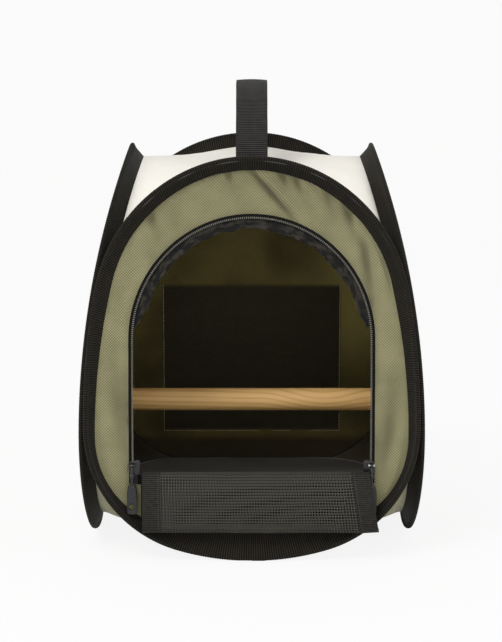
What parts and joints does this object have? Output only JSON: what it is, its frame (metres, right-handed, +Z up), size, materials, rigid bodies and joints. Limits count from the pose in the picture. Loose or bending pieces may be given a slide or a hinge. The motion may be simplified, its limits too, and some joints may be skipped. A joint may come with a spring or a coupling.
{
  "type": "bird travel carrier",
  "caption": "Small pop-up cloth carrier for a bird: egg-shaped spring hoops, arched zip door with a mesh flap, a perch, a floor and a webbing handle.",
  "frame": {"origin": "on the surface that the carrier stands on, under the middle of the cabin", "axes": "+Z up, -Y towards the door, +X to the right as seen from the front"},
  "size_m": [0.2712, 0.2712, 0.3705],
  "materials": {
    "olive_cloth": "padded olive oxford cloth, fine diagonal weave, matt",
    "cream_cloth": "thin cream cloth, matt",
    "brown_cloth": "dark brown cloth over a board, matt",
    "dark_cloth": "crumpled dark grey strip",
    "black_tape": "ribbed black woven tape",
    "net": "black open net",
    "webbing": "charcoal ribbed webbing",
    "zip_plastic": "grey coil teeth",
    "black_enamel": "glossy black enamel",
    "pine": "turned pale pine, unvarnished",
    "steel": "zinc-plated",
    "spring_steel": "drawn wire",
    "board": "plain plastic board"
  },
  "bodies": {
    "carrier": {"front_panel": "olive_cloth", "rear_panel": "olive_cloth", "left_panel": "olive_cloth", "right_panel": "olive_cloth", "top_panel": "cream_cloth", "bottom_panel": "olive_cloth", "rear_pocket": "olive_cloth", "zip_tape": "black_tape", "sill_welt": "black_tape", "zip_teeth": "zip_plastic", "zip_guard_strip": "dark_cloth", "perch": "pine", "perch_washers": "steel", "perch_screws": "steel", "handle_feet": "webbing", "front_binding": "black_tape", "front_hoop_wire": "spring_steel", "left_binding": "black_tape", "left_hoop_wire": "spring_steel", "rear_binding": "black_tape", "rear_hoop_wire": "spring_steel", "right_binding": "black_tape", "right_hoop_wire": "spring_steel"},
    "floor": {"floor_board": "board", "floor_cover": "brown_cloth"},
    "handle": {"handle_strap": "webbing"},
    "left_slider": {"left_slider": "black_enamel"},
    "right_slider": {"right_slider": "black_enamel"},
    "left_puller": {"left_puller": "black_enamel"},
    "right_puller": {"right_puller": "black_enamel"},
    "door_strip_1": {"door_net_1": "net", "door_hem_1": "black_tape"},
    "door_strip_2": {"door_net_2": "net", "door_hem_2": "black_tape"},
    "door_strip_3": {"door_net_3": "net", "door_hem_3": "black_tape"},
    "door_strip_4": {"door_net_4": "net", "door_hem_4": "black_tape"},
    "door_strip_5": {"door_net_5": "net", "door_hem_5": "black_tape"}
  },
  "joints": [
    {"name": "left_slider_travel", "type": "hinge", "parent": "carrier", "child": "left_slider", "pos_m": [0, 0.5145, 0.095], "axis": [-1, 0, 0], "range_deg": [0, 8.34]},
    {"name": "left_puller_swing", "type": "hinge", "parent": "left_slider", "child": "left_puller", "pos_m": [-0.0942, -0.12981, 0.07716], "axis": [-1, 0, 0], "range_deg": [0, 160]},
    {"name": "right_slider_travel", "type": "hinge", "parent": "carrier", "child": "right_slider", "pos_m": [0, 0.5145, 0.095], "axis": [-1, 0, 0], "range_deg": [0, 8.34]},
    {"name": "right_puller_swing", "type": "hinge", "parent": "right_slider", "child": "right_puller", "pos_m": [0.0942, -0.12981, 0.07716], "axis": [-1, 0, 0], "range_deg": [0, 160]},
    {"name": "handle_tilt", "type": "hinge", "parent": "carrier", "child": "handle", "pos_m": [0, 0, 0.308], "axis": [0, 1, 0], "range_deg": [-50, 50]},
    {"name": "floor_lift", "type": "slide", "parent": "carrier", "child": "floor", "axis": [0, 0, 1], "range_m": [0, 0.04]},
    {"name": "door_fold_1", "type": "hinge", "parent": "carrier", "child": "door_strip_1", "pos_m": [0, -0.12707, 0.069], "axis": [-1, 0, 0], "range_deg": [0, 179.41]},
    {"name": "door_fold_2", "type": "hinge", "parent": "door_strip_1", "child": "door_strip_2", "pos_m": [0, -0.1299, 0.03018], "axis": [-1, 0, 0], "range_deg": [-176.57, 0]},
    {"name": "door_fold_3", "type": "hinge", "parent": "door_strip_2", "child": "door_strip_3", "pos_m": [0, -0.13135, 0.069], "axis": [-1, 0, 0], "range_deg": [0, 183.54]},
    {"name": "door_fold_4", "type": "hinge", "parent": "door_strip_3", "child": "door_strip_4", "pos_m": [0, -0.1328, 0.03018], "axis": [-1, 0, 0], "range_deg": [-176.54, 0]},
    {"name": "door_fold_5", "type": "hinge", "parent": "door_strip_4", "child": "door_strip_5", "pos_m": [0, -0.13425, 0.069], "axis": [-1, 0, 0], "range_deg": [0, 183.6]}
  ],
  "couplings": [
    {"joint": "door_fold_2", "follows": "door_fold_1", "ratio": -0.9839},
    {"joint": "door_fold_3", "follows": "door_fold_1", "ratio": 1.0227},
    {"joint": "door_fold_4", "follows": "door_fold_1", "ratio": -0.98371},
    {"joint": "door_fold_5", "follows": "door_fold_1", "ratio": 1.0231}
  ]
}
